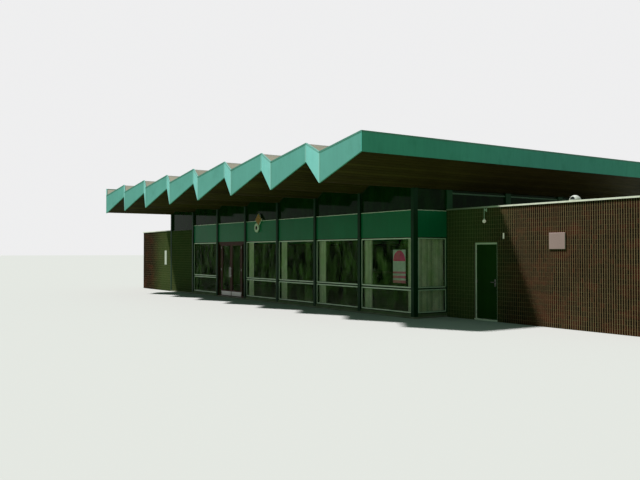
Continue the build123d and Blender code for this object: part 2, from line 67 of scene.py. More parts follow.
# view, light and ground
view = dict(place=(22.508, -18.585, 1.852), pitch=90.968, turn=56.343, lens=41.24, sensor=36.0, far=2000)
light = dict(travel=(0.381, 0.344, -0.858), strength=5.4, softness=3.5,
             ambient=(0.12, 0.21, 0.165), pale=(0.86, 0.86, 0.865))
ground = dict(size=900.0, colour=(0.49, 0.48, 0.465), bounce=(0.115, 0.21, 0.105), drop=0.002)


def tint(colour):  # screen colour to shader colour
    parts = [v / 255 for v in colour]
    parts = [v / 12.92 if v <= 0.04045 else ((v + 0.055) / 1.055) ** 2.4 for v in parts]
    return (*parts, 1.0)


finish = {}  # every finish by its name


def fill(sockets, values):  # constants by socket name
    for name, value in values.items():
        sockets[name].default_value = value


def newFinish(name, roughness, metallic=0.0, specular=0.5):
    material = bpy.data.materials.new(name)
    material.use_nodes = True
    tree = material.node_tree
    shader = tree.nodes["Principled BSDF"]
    fill(shader.inputs, {"Roughness": roughness, "Metallic": metallic, "Specular IOR Level": specular})
    finish[name] = material
    return tree, shader.inputs


def coordinates(tree, scale=(1, 1, 1)):
    source = tree.nodes.new("ShaderNodeTexCoord")
    mapping = tree.nodes.new("ShaderNodeMapping")
    mapping.inputs["Scale"].default_value = scale
    tree.links.new(source.outputs["Object"], mapping.inputs["Vector"])
    return mapping.outputs["Vector"]


def noiseOf(tree, scale, detail, roughness=0.55, stretch=(1, 1, 1)):
    node = tree.nodes.new("ShaderNodeTexNoise")
    fill(node.inputs, {"Scale": scale, "Detail": detail, "Roughness": roughness})
    tree.links.new(coordinates(tree, stretch), node.inputs["Vector"])
    return node.outputs["Fac"]


def rampOf(tree, value, *stops):
    node = tree.nodes.new("ShaderNodeValToRGB")
    elements = node.color_ramp.elements
    while len(elements) < len(stops):
        elements.new(0.5)
    for element, (position, colour) in zip(elements, stops):
        element.position = position
        element.color = colour if hasattr(colour, "__len__") else (colour, colour, colour, 1)
    tree.links.new(value, node.inputs["Fac"])
    return node.outputs["Color"]


def feed(tree, value, socket):  # a link, or a constant on the socket itself
    if isinstance(value, bpy.types.NodeSocket):
        tree.links.new(value, socket)
    else:
        socket.default_value = value


def mixOf(tree, kind, amount, first, second):
    node = tree.nodes.new("ShaderNodeMix")
    node.data_type = "RGBA"
    node.blend_type = kind
    for value, place in ((amount, 0), (first, 6), (second, 7)):
        feed(tree, value, node.inputs[place])
    return node.outputs[2]


def darkened(tree, colour, value, *stops):  # the colour times a ramp over the value
    return mixOf(tree, "MULTIPLY", 1.0, colour, rampOf(tree, value, *stops))


def clouded(tree, colour, amount, value, low=0.3, high=0.7):  # from a little darker to a little lighter
    parts = tint(colour)[:3]
    dark, pale = (*(v * (1 - amount) for v in parts), 1), (*(min(1, v * (1 + amount)) for v in parts), 1)
    return rampOf(tree, value, (low, dark), (high, pale))


def sumOf(tree, kind, first, second):
    node = tree.nodes.new("ShaderNodeMath")
    node.operation = kind
    feed(tree, first, node.inputs[0])
    feed(tree, second, node.inputs[1])
    return node.outputs[0]


def axesOf(tree, vector):
    node = tree.nodes.new("ShaderNodeSeparateXYZ")
    tree.links.new(vector, node.inputs[0])
    return node.outputs


def attributeOf(tree, name):
    node = tree.nodes.new("ShaderNodeAttribute")
    node.attribute_name = name
    return node.outputs["Fac"]


def surfaceOf(tree, shader, value, smooth, rough, depth, strength):  # roughness and relief from one noise
    feed(tree, rampOf(tree, value, (0.3, smooth), (0.7, min(1, rough))), shader["Roughness"])
    bumpOf(tree, shader, value, depth, strength)


def bumpOf(tree, shader, height, depth, strength):
    node = tree.nodes.new("ShaderNodeBump")
    fill(node.inputs, {"Strength": strength, "Distance": depth})
    tree.links.new(height, node.inputs["Height"])
    tree.links.new(node.outputs["Normal"], shader["Normal"])


# painted shade: a green film that paints the shade under the eaves, whole near the hall, gone a little beyond
# its eaves
eaveShade = dict(middle=-1.875, whole=10.1, gone=12.0, waver=0.9)


def eaveShadeOf(tree, amount):
    across = sumOf(tree, "SUBTRACT", axesOf(tree, coordinates(tree))["X"], eaveShade["middle"])
    away = sumOf(tree, "ABSOLUTE", across, 0.0)
    waver = sumOf(tree, "MULTIPLY", noiseOf(tree, 0.8, 5), eaveShade["waver"])
    fade = tree.nodes.new("ShaderNodeMapRange")
    fade.interpolation_type = "SMOOTHSTEP"
    fill(fade.inputs, {"From Min": eaveShade["whole"], "From Max": eaveShade["gone"], "To Min": amount,
                       "To Max": 0.0})
    tree.links.new(sumOf(tree, "ADD", away, waver), fade.inputs["Value"])
    return fade.outputs["Result"]


def tonesOf(tree, colour, depth):  # one tone a sheet or slat, from the mesh
    return darkened(tree, colour, attributeOf(tree, "tone"), (0.0, 1.0), (1.0, 1 - depth))


# paint on metal: cloudy tone, rain streaks down the face, fine speckle in the gloss
def paintFinish(name, colour, cloud, streak, roughness=0.45, gloss=0.35, grime=None, shadeFilm=None, levelShade=None):
    tree, shader = newFinish(name, roughness, specular=gloss)
    paint = clouded(tree, colour, cloud, noiseOf(tree, 0.9, 6))
    rain = noiseOf(tree, 1.0, 5, stretch=(14, 14, 0.6))
    paint = darkened(tree, paint, rain, (0.25, 1 - streak), (0.6, 1.0))
    if grime:  # colour gathered in soft patches
        patch = noiseOf(tree, 1.6, 9, 0.65, (2, 2, 1.1))
        paint = mixOf(tree, "MIX", rampOf(tree, patch, (0.52, 0.0), (0.75, 0.55)), paint, tint(grime))
    if levelShade:  # painted shade: level faces darkened, so tops in the sun don't clip
        upward = axesOf(tree, tree.nodes.new("ShaderNodeNewGeometry").outputs["Normal"])["Z"]
        paint = mixOf(tree, "MIX", rampOf(tree, upward, (0.5, 0.0), (0.9, 0.9)), paint, tint(levelShade))
    # painted shade: a green film where the eave's shade falls
    if shadeFilm:
        paint = mixOf(tree, "MIX", eaveShadeOf(tree, 0.8), paint, tint(shadeFilm))
    feed(tree, paint, shader["Base Color"])
    speckle = noiseOf(tree, 160, 3)
    surfaceOf(tree, shader, speckle, roughness * 0.8, roughness * 1.2, 0.0006, 0.25)


# boards: one tone a board from the mesh, grain drawn along the given axis
def woodFinish(name, colour, along, roughness, contrast, gloss, boardSpread=0.0):
    tree, shader = newFinish(name, roughness, specular=gloss)
    stretch = {"Y": (28, 1.2, 28), "Z": (28, 28, 1.2)}[along]
    grain = noiseOf(tree, 1.0, 8, 0.6, stretch)
    wood = clouded(tree, colour, contrast, grain, 0.25, 0.75)
    wood = darkened(tree, wood, attributeOf(tree, "tone"), (0.0, 1 - boardSpread), (1.0, 1.0))
    blotch = noiseOf(tree, 0.7, 6)
    wood = darkened(tree, wood, blotch, (0.35, 0.72), (0.65, 1.0))
    feed(tree, wood, shader["Base Color"])
    surfaceOf(tree, shader, grain, roughness * 1.15, roughness * 0.85, 0.0012, 0.4)


# stone, concrete and felt: cloudy tone with grit, and a stain, a green film of painted shade under the eaves,
# or a tone a sheet where given
def stoneFinish(name, colour, grainScale, roughness=0.85, cloud=0.16, depth=0.002, stain=None, shadeFilm=None,
                laid=0.0):
    tree, shader = newFinish(name, roughness, specular=0.25)
    stone = clouded(tree, colour, cloud, noiseOf(tree, 1.4, 8))
    grit = noiseOf(tree, grainScale, 6, 0.7)
    stone = darkened(tree, stone, grit, (0.3, 0.8), (0.65, 1.05))
    if stain:
        patch = noiseOf(tree, 2.1, 9, 0.62, (1, 1, 0.5))
        stone = mixOf(tree, "MIX", rampOf(tree, patch, (0.5, 0.0), (0.72, 0.6)), stone, tint(stain))
    # painted shade: a green film where the eave's shade falls
    if shadeFilm:
        stone = mixOf(tree, "MIX", eaveShadeOf(tree, 0.75), stone, tint(shadeFilm))
    if laid:
        stone = tonesOf(tree, stone, laid)
    feed(tree, stone, shader["Base Color"])
    surfaceOf(tree, shader, grit, roughness * 0.9, roughness * 1.1, depth, 0.5)


# metal: marks of the brush, drawn out along the axis with the smallest scale
def metalFinish(name, colour, roughness, metallic, brushed):
    tree, shader = newFinish(name, roughness, metallic=metallic)
    brush = noiseOf(tree, 6.0, 6, 0.6, brushed)
    feed(tree, clouded(tree, colour, 0.14, brush), shader["Base Color"])
    surfaceOf(tree, shader, brush, roughness * 0.75, roughness * 1.25, 0.0003, 0.3)


# glass: see-through by its alpha, with a dust haze and painted reflections that mottle the colour and swing
# the alpha
def glassFinish(name, colour, alpha, gloss, roughness=0.04, mottleAndReflection=0.1, swing=0.0):
    tree, shader = newFinish(name, roughness, specular=gloss)
    hazeAndReflection = noiseOf(tree, 2.6, 7, 0.65, (1, 1, 0.6))
    feed(tree, clouded(tree, colour, mottleAndReflection, hazeAndReflection, 0.4, 0.62), shader["Base Color"])
    thin, thick = alpha * (1 - swing), min(1, alpha * (1 + swing))
    feed(tree, rampOf(tree, hazeAndReflection, (0.4, thin), (0.62, thick)), shader["Alpha"])
    feed(tree, rampOf(tree, hazeAndReflection, (0.35, roughness), (0.75, roughness * 2)), shader["Roughness"])
    finish[name].surface_render_method = "BLENDED"


# plastic, fabric and opal glass: soft dust, and where given a subsurface glow, a faint emission that is
# painted light, or a tone a slat
def mouldedFinish(name, colour, roughness, dust=0.08, glow=0.0, paintedGlow=0.0, laid=0.0):
    tree, shader = newFinish(name, roughness)
    moulded = clouded(tree, colour, dust, noiseOf(tree, 7, 5))
    if laid:
        moulded = tonesOf(tree, moulded, laid)
    feed(tree, moulded, shader["Base Color"])
    fill(shader, {"Subsurface Weight": glow, "Subsurface Radius": (0.02, 0.02, 0.02),
                  "Emission Color": tint((255, 238, 216)), "Emission Strength": paintedGlow})
    fine = noiseOf(tree, 240, 3)
    surfaceOf(tree, shader, fine, roughness * 0.8, roughness * 1.3, 0.0003, 0.25)


# tiles: dull clay squares with sunk joints
tile = {"Scale": 1.0, "Brick Width": 0.3, "Row Height": 0.3, "Mortar Size": 0.004, "Mortar Smooth": 0.3,
        "Bias": 0.0, "Color1": tint((104, 92, 76)), "Color2": tint((92, 82, 68)),
        "Mortar": tint((54, 50, 42))}


def tileFinish():
    tree, shader = newFinish("floorTile", 0.6, specular=0.35)
    tiles = tree.nodes.new("ShaderNodeTexBrick")
    tiles.offset = 0.0
    fill(tiles.inputs, tile)
    tree.links.new(coordinates(tree), tiles.inputs["Vector"])
    worn = noiseOf(tree, 2.2, 7)
    feed(tree, darkened(tree, tiles.outputs["Color"], worn, (0.3, 0.78), (0.7, 1.0)), shader["Base Color"])
    feed(tree, rampOf(tree, worn, (0.3, 0.5), (0.7, 0.72)), shader["Roughness"])
    bumpOf(tree, shader, rampOf(tree, tiles.outputs["Fac"], (0.0, 1.0), (1.0, 0.0)), 0.003, 0.6)


# bricks: each has its own tone from the mesh, with a fired, grainy face, redder drifts and a green film of
# painted shade under the eaves
def brickFinish():
    tree, shader = newFinish("brickFace", 0.85, specular=0.02)
    face = rampOf(tree, attributeOf(tree, "tone"), (0.0, tint((29, 21, 13))), (0.45, tint((39, 28, 17))),
                  (0.85, tint((47, 30, 19))), (1.0, tint((64, 34, 22))))
    grit = noiseOf(tree, 130, 6, 0.7)
    cloud = noiseOf(tree, 1.1, 6)
    fired = noiseOf(tree, 1.3, 6, 0.6, (0.9, 0.9, 2.2))
    face = mixOf(tree, "MIX", rampOf(tree, fired, (0.5, 0.0), (0.64, 0.75)), face, tint((76, 35, 24)))
    # painted shade: green film where the eave's shade falls
    face = mixOf(tree, "MIX", eaveShadeOf(tree, 0.75), face, tint((76, 91, 50)))
    face = darkened(tree, face, grit, (0.3, 0.72), (0.7, 1.12))
    face = darkened(tree, face, cloud, (0.3, 0.86), (0.7, 1.08))
    feed(tree, face, shader["Base Color"])
    bumpOf(tree, shader, grit, 0.0015, 0.6)


paintFinish("fasciaPaint", (127, 195, 189), 0.05, 0.05, gloss=0.04, grime=(104, 168, 158))
# painted shade: the side fascia, which stands in shade, gets its own darker, greener copy of the fascia paint
paintFinish("fasciaShadedSidePaint", (100, 184, 172), 0.06, 0.06, gloss=0.04, grime=(82, 158, 142))
paintFinish("trimPaint", (108, 164, 154), 0.08, 0.12, gloss=0.06)
paintFinish("cornerPaint", (150, 208, 202), 0.05, 0.06, gloss=0.06)
paintFinish("bandPaint", (26, 118, 80), 0.1, 0.1, roughness=0.4, gloss=0.08)
paintFinish("postPaint", (20, 54, 30), 0.18, 0.15, gloss=0.06)
paintFinish("sidePostPaint", (40, 84, 52), 0.15, 0.15, gloss=0.08)
paintFinish("framePaint", (34, 48, 24), 0.15, 0.1, gloss=0.08)
paintFinish("doorFramePaint", (246, 238, 222), 0.05, 0.06, gloss=0.1, grime=(214, 208, 188))
paintFinish("doorPaint", (28, 60, 16), 0.3, 0.2, gloss=0.02)
# coping: the green film is painted shade under the eaves, and the level-face tint darkens its sunlit top as
# painted shade
paintFinish("copingPaint", (240, 236, 220), 0.06, 0.14, roughness=0.5, grime=(186, 180, 156),
            shadeFilm=(112, 118, 92), levelShade=(168, 164, 150))
paintFinish("railPaint", (196, 198, 184), 0.08, 0.08)
paintFinish("palePaint", (104, 132, 108), 0.1, 0.1, gloss=0.1)
paintFinish("lampPaint", (206, 212, 196), 0.08, 0.08, roughness=0.4, gloss=0.15)
paintFinish("signOrange", (184, 122, 36), 0.06, 0.06, roughness=0.4, gloss=0.1)
paintFinish("signWhite", (255, 244, 232), 0.03, 0.04, roughness=0.4, gloss=0.1)
paintFinish("signDark", (52, 44, 34), 0.1, 0.05, gloss=0.06)
metalFinish("beadMetal", (214, 224, 200), 0.5, 0.1, brushed=(40, 40, 2))
metalFinish("roofMetal", (112, 114, 102), 0.55, 0.2, brushed=(30, 2, 30))
metalFinish("darkSteel", (82, 84, 78), 0.5, 0.7, brushed=(60, 60, 3))
metalFinish("steel", (150, 152, 146), 0.35, 0.8, brushed=(60, 60, 3))
woodFinish("soffitBoards", (82, 69, 31), "Y", 0.6, 0.28, gloss=0.08, boardSpread=0.45)
woodFinish("soffitBack", (26, 22, 12), "Y", 0.8, 0.2, gloss=0.05)
woodFinish("beamWood", (62, 48, 26), "Y", 0.6, 0.25, gloss=0.08)
woodFinish("doorWood", (66, 34, 18), "Z", 0.5, 0.3, gloss=0.06)
stoneFinish("roofFelt", (146, 140, 123), 130, 0.9, 0.12, stain=(110, 112, 90), laid=0.28)
stoneFinish("wingRoofing", (126, 124, 114), 90, 0.9, 0.14, stain=(96, 96, 82), laid=0.28)
stoneFinish("slabConcrete", (132, 128, 112), 70, stain=(96, 94, 76))
stoneFinish("plinthConcrete", (98, 110, 78), 90, stain=(62, 74, 44))
stoneFinish("plaqueStone", (162, 136, 132), 240, 0.55, 0.08, depth=0.0006)
stoneFinish("plaster", (96, 90, 74), 45, 0.9, 0.08, depth=0.001)
# the mortar's green film is painted shade under the eaves
stoneFinish("mortar", (150, 126, 92), 200, 0.95, 0.14, depth=0.001, stain=(144, 98, 70),
            shadeFilm=(120, 124, 80))
mouldedFinish("gasket", (18, 20, 16), 0.6)
mouldedFinish("blindFabric", (255, 242, 210), 0.75, laid=0.3)
# the faint emission paints light onto the lamp globe and the door light, as if they caught the sun
mouldedFinish("opal", (240, 236, 222), 0.2, dust=0.03, glow=0.3, paintedGlow=0.12)
mouldedFinish("domeWhite", (196, 196, 188), 0.35, dust=0.05)
glassFinish("lensDark", (26, 30, 30), 0.95, gloss=0.5, roughness=0.08)
# the strong mottle is partly a dust haze and partly painted reflections of trees in the front panes
glassFinish("glass", (120, 144, 78), 0.13, gloss=0.045, mottleAndReflection=0.85, swing=0.45)
# the dark glass is painted shade: nearly opaque, it stands in for the dark interior behind the clerestory and
# back panes
glassFinish("shadeGlass", (20, 48, 16), 0.99, gloss=0.025, mottleAndReflection=0.3)
tileFinish()
brickFinish()
print("finishes made")

# the part's own pieces that show, by finish
finishNodes = dict(
    roofFelt="roof_deck_right_slopes roof_deck_left_slopes",
    soffitBack="soffit_right_slopes soffit_left_slopes",
    beamWood="valley_beams",
    fasciaPaint="fascia_front fascia_back",
    fasciaShadedSidePaint="fascia_sides",
    trimPaint="roof_edge_trims",
    postPaint="facade_posts sign_strip",
    sidePostPaint="side_posts",
    bandPaint="spandrels",
    shadeGlass="clerestory_glass",
    glass="window_glass entrance_glass_left entrance_glass_right",
    framePaint="window_frames",
    plinthConcrete="plinths",
    slabConcrete="hall_slab",
    floorTile="wing_floors",
    plaster="left_brick_walls left_wing_end_wall wall_left_of_door wall_over_door "
            "right_wing_long_walls right_wing_end_wall",
    wingRoofing="wing_roofs",
    copingPaint="wing_copings",
    doorFramePaint="wing_door_jambs wing_door_head_and_sill",
    doorPaint="wing_door_leaf",
    darkSteel="wing_door_lever",
    doorWood="entrance_frame entrance_head entrance_door_left entrance_door_right",
    steel="entrance_pull_left entrance_pull_right door_hinges",
    railPaint="blind_rails",
    blindFabric="vertical_blinds",
    lampPaint="wall_lamp_rod",
    opal="wall_lamp_globe wall_door_light",
    plaqueStone="wall_plaque",
    domeWhite="coping_dome",
    signWhite="sign_plates",
)
for paint, names in finishNodes.items():
    for name in names.split():
        nodes[name].data.materials.clear()
        nodes[name].data.materials.append(finish[paint])


# mesh helpers
def only(kind, geom):  # the parts of one kind in an operator's result
    return [part for part in geom if isinstance(part, kind)]


def toneIn(bm):  # layer with one tone a face, read by the finishes
    return bm.faces.layers.float.new("tone")


def turnOut(bm):
    bmesh.ops.recalc_face_normals(bm, faces=bm.faces[:])


def bevelled(bm, edges, offset, segments=1):
    bmesh.ops.bevel(bm, geom=edges, offset=offset, segments=segments, profile=0.5, affect="EDGES",
                    material=-1)


def block(bm, place, edge, segments=1):  # unit cube set in place
    made = bmesh.ops.create_cube(bm, size=1.0, matrix=place)["verts"]
    bevelled(bm, list({e for v in made for e in v.link_edges}), edge, segments)


def slab(bm, low, high, edge, segments=1):  # block between two corners
    low, high = Vector(low), Vector(high)
    block(bm, Matrix.Translation((low + high) / 2) @ Matrix.Diagonal((*(high - low), 1)), edge, segments)


def bar(bm, start, end, width, depth, edge):  # block between two points, its width upright
    start, end = Vector(start), Vector(end)
    turn = (end - start).to_track_quat("X", "Z").to_matrix().to_4x4()
    size = Matrix.Diagonal(((end - start).length, depth, width, 1))
    block(bm, Matrix.Translation((start + end) / 2) @ turn @ size, edge)


def rod(bm, start, end, radius, segments, edge):
    start, end = Vector(start), Vector(end)
    turn = (end - start).to_track_quat("Z", "Y").to_matrix().to_4x4()
    made = bmesh.ops.create_cone(bm, cap_ends=True, cap_tris=False, segments=segments, radius1=radius,
                                 radius2=radius, depth=(end - start).length,
                                 matrix=Matrix.Translation((start + end) / 2) @ turn)["verts"]
    edges = {e for v in made for e in v.link_edges}
    bevelled(bm, [e for e in edges if any(len(f.verts) > 4 for f in e.link_faces)], edge, 2)


def facing(side, origin, out):  # XY turned upright to face that side, its origin moved outwards
    along = {"front": (1, 0, 0), "back": (-1, 0, 0), "right": (0, 1, 0), "left": (0, -1, 0)}[side]
    up = Vector((0, 0, 1))
    outward = Vector(along).cross(up)
    place = Matrix((along, up, outward)).transposed().to_4x4()
    place.translation = Vector(origin) + out * outward
    return place


def ring(bm, side, centre, out, width, height, face, depth):  # flat frame that stands off an upright plane
    verts = bmesh.ops.create_grid(bm, x_segments=1, y_segments=1, size=0.5)["verts"]
    bmesh.ops.scale(bm, vec=(width, height, 1), verts=verts)
    middle = verts[0].link_faces[0]
    rim = bmesh.ops.inset_individual(bm, faces=[middle], thickness=face, use_even_offset=True)["faces"]
    bmesh.ops.delete(bm, geom=[middle], context="FACES")
    raised = only(BMVert, bmesh.ops.extrude_face_region(bm, geom=rim)["geom"])
    bmesh.ops.translate(bm, vec=(0, 0, depth), verts=raised)
    every = {v for f in rim if f.is_valid for v in f.verts} | set(raised)
    faces = {f for v in every for f in v.link_faces}
    whole = list({v for f in faces for v in f.verts})
    bmesh.ops.transform(bm, matrix=facing(side, centre, out), verts=whole)
    bmesh.ops.recalc_face_normals(bm, faces=list(faces))


def tonedSlab(bm, tone, low, high, edge):  # slab with the next tone on all its faces
    before = set(bm.faces)
    slab(bm, low, high, edge)
    shade = rng.random()
    for face in bm.faces:
        if face not in before:
            face[tone] = shade


def foldedSheet(bm, line, sweep, outward, thick):  # bent line swept to a sheet, then thickened
    verts = [bm.verts.new(point) for point in line]
    edges = [bm.edges.new(pair) for pair in zip(verts, verts[1:])]
    swept = bmesh.ops.extrude_edge_only(bm, edges=edges)["geom"]
    for v in only(BMVert, swept):
        v.co = sweep(v.co)
    faces = only(BMFace, swept)
    bmesh.ops.recalc_face_normals(bm, faces=faces)
    if faces[0].normal.dot(outward) < 0:
        bmesh.ops.reverse_faces(bm, faces=faces)
    bmesh.ops.solidify(bm, geom=faces, thickness=thick)


def stamp(bm, part, place):  # adds a copy of one small mesh to another
    mesh = bpy.data.meshes.new("stamp")
    part.to_mesh(mesh)
    mesh.transform(place)
    if place.determinant() < 0:
        mesh.flip_normals()
    bm.from_mesh(mesh)
    bpy.data.meshes.remove(mesh)


def linked(name, data):  # new object in the scene
    made = bpy.data.objects.new(name, data)
    scene.collection.objects.link(made)
    return made


def objectFrom(bm, name, *finishes):
    mesh = bpy.data.meshes.new(name)
    bm.to_mesh(mesh)
    bm.free()
    for one in finishes:
        mesh.materials.append(finish[one])
    return linked(name, mesh)


def done(bm, name, finishes, body="building", smooth=0):  # finishes: one or more, with spaces
    if smooth:
        for face in bm.faces:
            face.smooth = True
        for edge in bm.edges:
            edge.smooth = edge.calc_face_angle(math.pi) < math.radians(smooth)
    piece = objectFrom(bm, name, *finishes.split())
    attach(piece, body)
    return piece


# camera, sun, world and floor
eye = bpy.data.cameras.new("eye")
eye.lens = view["lens"]
eye.sensor_width = view["sensor"]
eye.clip_end = view["far"]
scene.camera = linked("eye", eye)
scene.camera.location = view["place"]
scene.camera.rotation_euler = (math.radians(view["pitch"]), 0, math.radians(view["turn"]))

sun = bpy.data.lights.new("sun", "SUN")
sun.energy = light["strength"]
sun.angle = math.radians(light["softness"])
linked("sun", sun).rotation_euler = (-Vector(light["travel"])).to_track_quat("Z", "Y").to_euler()


def paleRays(tree):  # 1 where the view, a reflection or a glass pane sees it
    rays = tree.nodes.new("ShaderNodeLightPath")
    seen = sumOf(tree, "MAXIMUM", rays.outputs["Is Camera Ray"], rays.outputs["Is Glossy Ray"])
    return sumOf(tree, "MAXIMUM", seen, rays.outputs["Is Transmission Ray"])


scene.world = bpy.data.worlds.new("studio")
scene.world.use_nodes = True
tree = scene.world.node_tree
feed(tree, mixOf(tree, "MIX", paleRays(tree), (*light["ambient"], 1), (*light["pale"], 1)),
     tree.nodes["Background"].inputs["Color"])

tree, shader = newFinish("floorPlain", 0.95, specular=0.0)
feed(tree, mixOf(tree, "MIX", paleRays(tree), (*ground["bounce"], 1), (*ground["colour"], 1)),
     shader["Base Color"])
bm = bmesh.new()
bmesh.ops.create_grid(bm, x_segments=1, y_segments=1, size=ground["size"] / 2)
bmesh.ops.translate(bm, vec=(0, 0, -ground["drop"]), verts=bm.verts)
floor = objectFrom(bm, "floor", "floorPlain")
floor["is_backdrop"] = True
print("camera, light and floor ready")

# the hall's lines in metres: frame is a window frame's width, frameHalf half its depth, and a return is the
# short glazed stretch at either end of the right side
hall = dict(bay=2.5, folds=8, cornerX=6.875, line=5.0, postWidth=0.12, slabTop=0.05, frameBottom=0.12,
            frame=0.05, frameHalf=0.03, transomLow=0.78, transomHigh=0.87, bandLow=2.29, bandHigh=3.055,
            beamLow=3.665, soffitRidge=4.365, deckValley=4.41, deckRidge=4.82, ridgeEnd=7.77, valleyEnd=8.17,
            returnNear=3.81, returnFar=4.92, wall=0.22)
halfBay = hall["bay"] / 2
valleys = [hall["cornerX"] - i * hall["bay"] for i in range(hall["folds"])]
middles = [x - halfBay for x in valleys[:-1]]
brickBay = middles[6]
entranceBay = middles[4]
clear = hall["bay"] - hall["postWidth"]
opening = clear / 2 - hall["frame"]
windows = [("front", m, -hall["line"]) for m in middles if m not in (brickBay, entranceBay)]
windows += [("back", m, hall["line"]) for m in middles if m != brickBay]
returns = [(-hall["returnFar"], -hall["returnNear"]), (hall["returnNear"], hall["returnFar"])]
lights = ((hall["frameBottom"] + hall["frame"], hall["transomLow"]),
          (hall["transomHigh"], hall["bandLow"] - hall["frame"]))
sidePosts = [-3.70, -1.2333, 1.2333, 3.70]

# brick facings: upright headers in straight stacks, joints sunk behind the faces, the level ones narrower
brick = dict(wide=0.0625, high=0.1125, joint=0.013, level=0.45, rise=0.004, edge=0.0015, bed=0.0012,
             slack=0.01)


def brickFacing(name, side, corner, length, top):  # courses counted from the top, the lowest is cut
    bm = bmesh.new()
    tone = toneIn(bm)
    height = top - corner[2]
    course = top / round(top / brick["high"])
    columns = max(1, round(length / brick["wide"]))
    rows = math.ceil(height / course - brick["slack"])
    bmesh.ops.create_grid(bm, x_segments=columns, y_segments=rows, size=0.5)
    for v in bm.verts:
        row = round((v.co.y + 0.5) * rows)
        v.co = (length * (v.co.x + 0.5), max(0, height - (rows - row) * course) / brick["level"], 0)
    bricks = bm.faces[:]
    bmesh.ops.inset_individual(bm, faces=bricks, thickness=brick["joint"] / 2, use_even_offset=True)
    bmesh.ops.inset_individual(bm, faces=bricks, thickness=brick["edge"], depth=brick["rise"],
                               use_even_offset=True)
    bmesh.ops.scale(bm, vec=(1, brick["level"], 1), verts=bm.verts)
    for one in bricks:
        shade = rng.random()
        for face in [one] + [f for e in one.edges for f in e.link_faces]:
            face.material_index = 1
            face[tone] = shade
    outline = [e for e in bm.edges if e.is_boundary]
    skirt = bmesh.ops.extrude_edge_only(bm, edges=outline)["geom"]
    bmesh.ops.translate(bm, vec=(0, 0, -2 * brick["bed"]), verts=only(BMVert, skirt))
    bmesh.ops.contextual_create(bm, geom=[e for e in bm.edges if e.is_boundary])
    turnOut(bm)
    bmesh.ops.transform(bm, matrix=facing(side, corner, brick["bed"]), verts=bm.verts)
    done(bm, name, "mortar brickFace")


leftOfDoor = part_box("wall_left_of_door")
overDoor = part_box("wall_over_door")
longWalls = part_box("right_wing_long_walls")
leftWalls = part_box("left_brick_walls")
rightStart, rightEnd = leftOfDoor[0].x, longWalls[1].x
rightFace, rightTop = leftOfDoor[0].y, leftOfDoor[1].z
leftStart, leftEnd = valleys[-1] - hall["postWidth"] / 2, leftWalls[0].x
leftFace, leftTop = leftWalls[0].y, leftWalls[1].z
doorLeft, doorRight, doorHead = overDoor[0].x, overDoor[1].x, overDoor[0].z
for name, side, x, y, z, length, top in (
        ("left_of_door", "front", rightStart, rightFace, 0, doorLeft - rightStart, rightTop),
        ("over_door", "front", doorLeft, rightFace, doorHead, doorRight - doorLeft, rightTop),
        ("right_of_door", "front", doorRight, rightFace, 0, rightEnd - doorRight, rightTop),
        ("right_end", "right", rightEnd, rightFace, 0, -2 * rightFace, rightTop),
        ("right_back", "back", rightEnd, -rightFace, 0, rightEnd - rightStart, rightTop),
        ("left_front", "front", leftEnd, leftFace, 0, leftStart - leftEnd, leftTop),
        ("left_end", "left", leftEnd, -leftFace, 0, -2 * leftFace, leftTop),
        ("left_back", "back", leftStart, -leftFace, 0, leftStart - leftEnd, leftTop),
        ("hall_bay_front", "front", brickBay - clear / 2, leftFace, hall["slabTop"], clear, leftTop),
        ("hall_bay_back", "back", brickBay + clear / 2, -leftFace, hall["slabTop"], clear, leftTop)):
    brickFacing("bricks_" + name, side, (x, y, z), length, top)
print("bricks laid")


def eaveCut(bm):  # both ends on the slant of the eaves
    outward = Vector((hall["valleyEnd"] - hall["ridgeEnd"], halfBay, 0)).normalized()
    for sign in (-1, 1):
        geom = bm.verts[:] + bm.edges[:] + bm.faces[:]
        cut = bmesh.ops.bisect_plane(bm, geom=geom, dist=1e-5, plane_co=(0, sign * hall["valleyEnd"], 0),
                                     plane_no=(outward.x, sign * outward.y, 0), clear_outer=True)["geom_cut"]
        bmesh.ops.holes_fill(bm, edges=only(BMEdge, cut), sides=0)


def slopePieces(name, run, finishName, lay):  # one piece a hand, the same sheets on every slope
    startX, startZ, endX, endZ = run
    turn = Matrix.Rotation(-math.atan2(endZ - startZ, endX - startX), 4, "Y")
    for hand, sign in (("right", 1), ("left", -1)):
        whole = bmesh.new()
        toneIn(whole)
        for valley in valleys:
            part = bmesh.new()
            lay(part, toneIn(part), math.hypot(endX - startX, endZ - startZ))
            bmesh.ops.transform(part, matrix=Matrix.Translation((startX, 0, startZ)) @ turn, verts=part.verts)
            eaveCut(part)
            stamp(whole, part, Matrix.Translation((valley, 0, 0)) @ Matrix.Scale(sign, 4, (1, 0, 0)))
            part.free()
        done(whole, name + hand, finishName)


# soffit: boards along the building's depth
soffit = dict(board=0.106, joint=0.005, proud=0.006, into=0.004, edge=0.002, reach=8.3,
              run=(hall["postWidth"] / 2, hall["beamLow"], halfBay, hall["soffitRidge"]))


def layBoards(part, tone, length):
    count = round(length / soffit["board"])
    width = length / count
    for i in range(count):
        tonedSlab(part, tone, (i * width, -soffit["reach"], -soffit["proud"]),
                  ((i + 1) * width - soffit["joint"], soffit["reach"], soffit["into"]), soffit["edge"])


slopePieces("soffit_boards_", soffit["run"], "soffitBoards", layBoards)

# roof: lapped felt sheets up each slope, ridge caps and valley gutters
roof = dict(sheet=0.98, lap=0.06, thick=0.003, over=1.8, into=0.001, edge=0.0006, valleyGap=0.01,
            ridgeGap=0.004, run=(0, hall["deckValley"], halfBay, hall["deckRidge"]), metal=0.003, cap=0.13,
            capRise=0.008, gutter=0.16, gutterRise=0.009, gutterShort=0.07)


